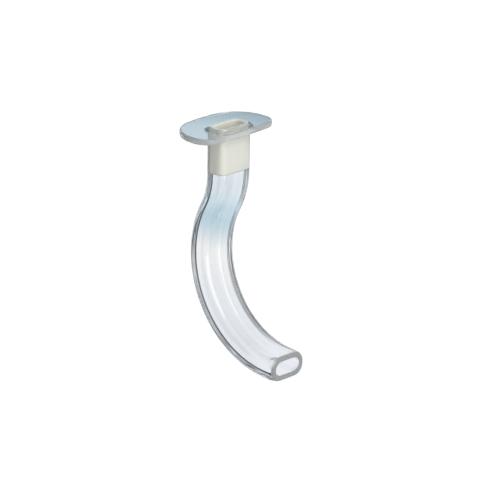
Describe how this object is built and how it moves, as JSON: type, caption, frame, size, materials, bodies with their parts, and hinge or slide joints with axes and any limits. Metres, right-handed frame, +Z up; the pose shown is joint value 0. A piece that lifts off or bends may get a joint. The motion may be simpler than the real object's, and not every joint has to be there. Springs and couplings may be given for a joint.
{
  "type": "oropharyngeal airway",
  "caption": "Clear curved airway tube with a flat lip flange and a white bite block in its mouth, keeps a patient's tongue off the throat.",
  "frame": {"origin": "middle of the bounding box at floor level, with the airway lying on its side as it comes to rest", "axes": "+Z up; +X is the level direction of the bite part, from the tip end towards the flange's outer face; +Y is the convex side of the curve"},
  "size_m": [0.0744, 0.0379, 0.0306],
  "materials": {
    "clear_pvc": "clear soft plastic, polished",
    "white_plastic": "rigid opaque white plastic, semi-gloss"
  },
  "bodies": {
    "root": {"airway_body": "clear_pvc", "bite_block": "white_plastic"}
  },
  "joints": []
}
